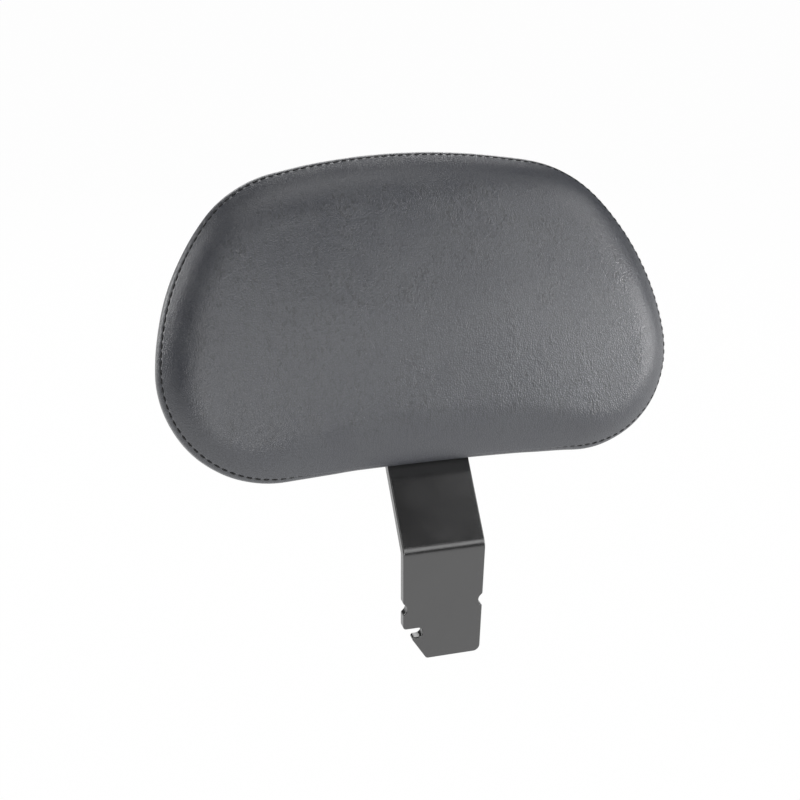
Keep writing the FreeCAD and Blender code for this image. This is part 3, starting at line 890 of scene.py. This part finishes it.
def thread_material():
    """Bonded sewing thread: three plies laid in a twist, with painted shade in the grooves between the
    plies.
    """
    f = finishes()
    material, tree, shader = new_material("Black Sewing Thread")
    turns = stretched(tree, tree.nodes.new("ShaderNodeTexCoord").outputs["UV"], (3.0, 5.0, 1.0))
    plies = texture(tree, "ShaderNodeTexWave", turns, {"Scale": 1.0, "Distortion": 0.4, "Detail": 1.0},
                    output=1, bands_direction="DIAGONAL")
    bump(tree, plies, 0.00012, shader)
    # Painted shade: the colour follows the ply height, darker in the grooves between the plies and lighter
    # on their tops.
    tone = mixed(tree, plies, tint(f.thread, 0.6), tint(f.thread, 1.6))
    tree.links.new(tone, shader.inputs["Base Color"])
    tree.links.new(maths(tree, "MULTIPLY_ADD", plies, 0.12, 0.42), shader.inputs["Roughness"])
    shader.inputs["Specular IOR Level"].default_value = 0.4
    return material


def coating_material():
    """Satin powder coat: a faint orange peel with fine specks, thinner and glossier in patches."""
    f = finishes()
    material, tree, shader = new_material("Satin Black Powder Coat")
    where = object_coordinates(tree)
    peel = texture(tree, "ShaderNodeTexNoise", where, {"Scale": 520.0, "Detail": 3.0, "Roughness": 0.6})
    specks = pebbles(tree, where, 1500.0, 0.0006)
    height = maths(tree, "MULTIPLY_ADD", specks["Height"], 0.22, peel)
    bump(tree, height, 0.000035, shader)
    cloudy = patches(tree, where, 42.0, 0.36, 0.66)
    tone = mixed(tree, cloudy, tint(f.coating, 0.94), tint(f.coating, 1.08))
    tree.links.new(tone, shader.inputs["Base Color"])
    rough = maths(tree, "MULTIPLY_ADD", cloudy, 0.04, f.coating_roughness - 0.02)
    tree.links.new(rough, shader.inputs["Roughness"])
    shader.inputs["IOR"].default_value = 1.6
    shader.inputs["Specular IOR Level"].default_value = 1.0
    return material


def plastic_material():
    """Moulded plastic with a fine spark-eroded texture and a few rubbed spots."""
    f = finishes()
    material, tree, shader = new_material("Textured Black Plastic")
    where = object_coordinates(tree)
    leathery = pebbles(tree, where, 1250.0, 0.0012)
    fine = texture(tree, "ShaderNodeTexNoise", where, {"Scale": 3200.0, "Detail": 2.0})
    height = maths(tree, "MULTIPLY_ADD", fine, 0.5, leathery["Height"])
    bump(tree, height, 0.00005, shader)
    rubbed = patches(tree, where, 32.0, 0.52, 0.75)
    tone = mixed(tree, rubbed, tint(f.plastic, 0.95), tint(f.plastic, 1.25))
    tree.links.new(tone, shader.inputs["Base Color"])
    tree.links.new(maths(tree, "MULTIPLY_ADD", rubbed, -0.10, 0.60), shader.inputs["Roughness"])
    shader.inputs["Specular IOR Level"].default_value = 0.5
    return material


def zinc_material(name, value, roughness, metal):
    """Zinc plate on steel: fine lay marks and a cloudy passivated film."""
    material, tree, shader = new_material(name)
    where = object_coordinates(tree)
    lay = texture(tree, "ShaderNodeTexNoise", stretched(tree, where, (1.0, 1.0, 0.08)),
                  {"Scale": 3000.0, "Detail": 2.0})
    bump(tree, lay, 0.00001, shader)
    cloudy = patches(tree, where, 260.0, 0.38, 0.66)
    tone = mixed(tree, cloudy, tint(value, 0.85), tint(value, 1.12))
    tree.links.new(tone, shader.inputs["Base Color"])
    tree.links.new(maths(tree, "MULTIPLY_ADD", cloudy, 0.12, roughness),
                   shader.inputs["Roughness"])
    shader.inputs["Metallic"].default_value = metal
    return material


def plywood_material():
    """Birch plywood: veneers along the edge, grain lines on the faces."""
    f = finishes()
    material, tree, shader = new_material("Plywood")
    where = object_coordinates(tree)
    s = pad()
    turned = stretched(tree, where, (1.0, 1.0, 1.0), (s.lean - math.pi / 2, 0, 0))
    layers = texture(tree, "ShaderNodeTexWave", turned, {"Scale": 110.0, "Distortion": 0.2},
                     output=1, bands_direction="Z")
    lines = texture(tree, "ShaderNodeTexNoise", stretched(tree, turned, (0.06, 1.0, 0.6)),
                    {"Scale": 900.0, "Detail": 4.0})
    pattern = maths(tree, "MULTIPLY_ADD", layers, 0.45, maths(tree, "MULTIPLY", lines, 0.55))
    tone = mixed(tree, pattern, tint(f.plywood, 0.62), tint(f.plywood, 1.15))
    tree.links.new(tone, shader.inputs["Base Color"])
    bump(tree, lines, 0.0001, shader)
    tree.links.new(maths(tree, "MULTIPLY_ADD", lines, 0.15, 0.62), shader.inputs["Roughness"])
    return material


def floor_material():
    """A pale floor that shows white to the camera and in reflections, and keeps a faint shadow."""
    material, tree, shader = new_material("Studio Floor")
    f = finishes()
    shader.inputs["Base Color"].default_value = (*f.floor, 1.0)
    shader.inputs["Roughness"].default_value = 0.9
    glow = add(tree, "ShaderNodeEmission", {"Color": (1, 1, 1, 1), "Strength": 1.0})
    path = tree.nodes.new("ShaderNodeLightPath")
    seen = maths(tree, "MAXIMUM", path.outputs["Is Camera Ray"], path.outputs["Is Glossy Ray"])
    seen = maths(tree, "MAXIMUM", seen, path.outputs["Is Transmission Ray"])
    both = tree.nodes.new("ShaderNodeMixShader")
    tree.links.new(maths(tree, "MULTIPLY", seen, FLOOR_GLOW), both.inputs["Fac"])
    tree.links.new(shader.outputs[0], both.inputs[1])
    tree.links.new(glow.outputs[0], both.inputs[2])
    tree.links.new(both.outputs[0], tree.nodes["Material Output"].inputs["Surface"])
    return material


# Studio

CAMERA_PLACE = (-0.21788, -0.63881, 0.44803)
CAMERA_TURN = math.radians(16.553)
CAMERA_DIP = math.radians(22.601)
CAMERA_ROLL = math.radians(0.853)
CAMERA_LENS = 58.5
FLOOR_HEIGHT = -0.26
FLOOR_GLOW = 0.985
AIM = Vector((0.0, 0.03, 0.18))
SURROUND = 0.03
FLOOR_SIZE = 40
# Soft lamps round the object: name, azimuth, elevation, distance, width and height, radiance.
LAMPS = (
    ("key", 55, 8, 2.0, (1.0, 0.5), 8.0),
    ("key_side", 76, 10, 2.0, (0.8, 0.6), 5.6),
    ("right", 60, 44, 2.0, (1.1, 0.8), 2.2),
    ("shoulder", 94, 35, 2.0, (0.8, 0.6), 2.4),
    ("front", 18, 25, 2.0, (1.7, 0.72), 2.0),
    ("front_low", -20, 8, 2.0, (1.0, 0.5), 4.6),
    ("left", -33, 40, 2.0, (0.9, 0.9), 2.4),
    ("rim", -122, 16, 1.6, (0.45, 0.9), 7.0),
    ("over", 190, 84, 1.8, (1.6, 0.8), 1.7),
    ("rear", 172, 22, 2.0, (1.6, 1.0), 3.4),
)


def softbox(name, azimuth, elevation, distance, size, radiance):
    """A rectangular lamp that faces the object, at degrees to the right of the front and up."""
    data = bpy.data.lights.new(name, "AREA")
    data.shape = "RECTANGLE"
    data.size, data.size_y = size
    data.energy = radiance * math.pi * size[0] * size[1]
    lamp = bpy.data.objects.new(name, data)
    bpy.context.scene.collection.objects.link(lamp)
    a, e = math.radians(azimuth), math.radians(elevation)
    away = Vector((math.sin(a) * math.cos(e), -math.cos(a) * math.cos(e), math.sin(e)))
    lamp.location = AIM + away * distance
    lamp.rotation_euler = away.to_track_quat("Z", "Y").to_euler()


def make_camera():
    """The camera at the photograph's angle."""
    data = bpy.data.cameras.new("camera")
    data.sensor_width = 36.0
    data.lens = CAMERA_LENS
    camera = bpy.data.objects.new("camera", data)
    bpy.context.scene.collection.objects.link(camera)
    a, e, r = CAMERA_TURN, CAMERA_DIP, CAMERA_ROLL
    look = Vector((math.sin(a) * math.cos(e), math.cos(a) * math.cos(e), -math.sin(e)))
    right = Vector((math.cos(a), -math.sin(a), 0))
    up = right.cross(look)
    x_axis = right * math.cos(r) + up * math.sin(r)
    y_axis = up * math.cos(r) - right * math.sin(r)
    turned = Matrix((x_axis, y_axis, -look)).transposed().to_4x4()
    camera.matrix_world = Matrix.Translation(CAMERA_PLACE) @ turned
    bpy.context.scene.camera = camera


def make_world():
    """A dim surround that lights the object evenly and shows white to the camera."""
    world = bpy.data.worlds.new("Studio")
    world.use_nodes = True
    tree = world.node_tree
    surround = tree.nodes["Background"]
    surround.inputs["Color"].default_value = (1, 1, 1, 1)
    path = tree.nodes.new("ShaderNodeLightPath")
    level = maths(tree, "MULTIPLY_ADD", path.outputs["Is Camera Ray"], 1 - SURROUND, SURROUND)
    tree.links.new(level, surround.inputs["Strength"])
    bpy.context.scene.world = world


def make_floor():
    """A plain floor below the object."""
    deselect()
    bpy.ops.mesh.primitive_plane_add(size=FLOOR_SIZE, location=(0, 0, 0))
    floor = bpy.context.object
    floor.name = "studio_floor"
    floor.data.transform(Matrix.Translation((0, 0, FLOOR_HEIGHT)))
    dressed(floor, floor_material())


# Operators

class BACKREST_OT_cushion_face(bpy.types.Operator):
    """Upholster the crowned face of the pad"""
    bl_idname = "backrest.cushion_face"
    bl_label = "Cushion Face"

    def execute(self, context):
        piece = make_cushion_face()
        dressed(piece, vinyl_material())
        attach(piece, "root")
        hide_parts("front_panel", "foam_cushion")
        return {"FINISHED"}


class BACKREST_OT_cushion_band(bpy.types.Operator):
    """Upholster the side band and pull its hem round the board"""
    bl_idname = "backrest.cushion_band"
    bl_label = "Cushion Band"

    def execute(self, context):
        piece = make_cushion_band()
        dressed(piece, bpy.data.materials.get("Black Upholstery Vinyl") or vinyl_material())
        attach(piece, "root")
        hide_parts("side_band")
        return {"FINISHED"}


class BACKREST_OT_seam_stitches(bpy.types.Operator):
    """Sew the seam between the face and the band"""
    bl_idname = "backrest.seam_stitches"
    bl_label = "Seam Stitches"

    def execute(self, context):
        seam = make_seam_stitches()
        dressed(seam, thread_material())
        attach(seam, "root")
        return {"FINISHED"}


class BACKREST_OT_stem_finish(bpy.types.Operator):
    """Powder coat the folded stem"""
    bl_idname = "backrest.stem_finish"
    bl_label = "Stem Finish"

    def execute(self, context):
        dressed(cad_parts["stem_plate"], coating_material())
        return {"FINISHED"}


class BACKREST_OT_rear_finish(bpy.types.Operator):
    """Texture the moulded rear cover and its rivets"""
    bl_idname = "backrest.rear_finish"
    bl_label = "Rear Cover Finish"

    def execute(self, context):
        plastic = plastic_material()
        for name in ("rear_cover", "rear_cover_rivets"):
            dressed(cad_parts[name], plastic)
        return {"FINISHED"}


class BACKREST_OT_fastener_finish(bpy.types.Operator):
    """Plate the screws, washers, staples and tee nuts"""
    bl_idname = "backrest.fastener_finish"
    bl_label = "Fastener Finish"

    def execute(self, context):
        f = finishes()
        black = zinc_material("Black Zinc", f.black_zinc, 0.30, 0.55)
        bright = zinc_material("Bright Zinc", f.bright_zinc, 0.26, 1.0)
        for name in ("stem_screws", "stem_washers", "stem_lock_washers"):
            dressed(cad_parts[name], black)
        for name in ("hem_staples", "tee_nuts"):
            dressed(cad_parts[name], bright)
        return {"FINISHED"}


class BACKREST_OT_board_finish(bpy.types.Operator):
    """Give the backing board its veneers and grain"""
    bl_idname = "backrest.board_finish"
    bl_label = "Board Finish"

    def execute(self, context):
        dressed(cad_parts["backing_board"], plywood_material())
        return {"FINISHED"}


class BACKREST_OT_studio(bpy.types.Operator):
    """Set up the floor, the soft lamps and the camera"""
    bl_idname = "backrest.studio"
    bl_label = "Studio"

    def execute(self, context):
        make_world()
        make_floor()
        for lamp in LAMPS:
            softbox(*lamp)
        make_camera()
        context.scene.view_settings.view_transform = "Standard"
        return {"FINISHED"}


class BACKREST_PT_panel(bpy.types.Panel):
    """Sizes, colours and steps of the backrest"""
    bl_idname = "BACKREST_PT_panel"
    bl_label = "Driver Backrest"
    bl_space_type = "VIEW_3D"
    bl_region_type = "UI"
    bl_category = "Backrest"

    def draw(self, context):
        column = self.layout.column()
        for group in (context.scene.backrest_pad, context.scene.backrest_finishes):
            for name in group.__annotations__:
                column.prop(group, name)
        for operator in OPERATORS:
            column.operator(operator.bl_idname)


OPERATORS = (
    BACKREST_OT_cushion_face,
    BACKREST_OT_cushion_band,
    BACKREST_OT_seam_stitches,
    BACKREST_OT_stem_finish,
    BACKREST_OT_rear_finish,
    BACKREST_OT_fastener_finish,
    BACKREST_OT_board_finish,
    BACKREST_OT_studio,
)
CLASSES = (PadSizes, Finishes) + OPERATORS + (BACKREST_PT_panel,)


def register():
    for cls in CLASSES:
        bpy.utils.register_class(cls)
    bpy.types.Scene.backrest_pad = PointerProperty(type=PadSizes)
    bpy.types.Scene.backrest_finishes = PointerProperty(type=Finishes)


def unregister():
    del bpy.types.Scene.backrest_finishes
    del bpy.types.Scene.backrest_pad
    for cls in reversed(CLASSES):
        bpy.utils.unregister_class(cls)


def main():
    register()
    bpy.ops.backrest.cushion_face()
    bpy.ops.backrest.cushion_band()
    bpy.ops.backrest.seam_stitches()
    bpy.ops.backrest.stem_finish()
    bpy.ops.backrest.rear_finish()
    bpy.ops.backrest.fastener_finish()
    bpy.ops.backrest.board_finish()
    bpy.ops.backrest.studio()


if __name__ == "__main__":
    main()
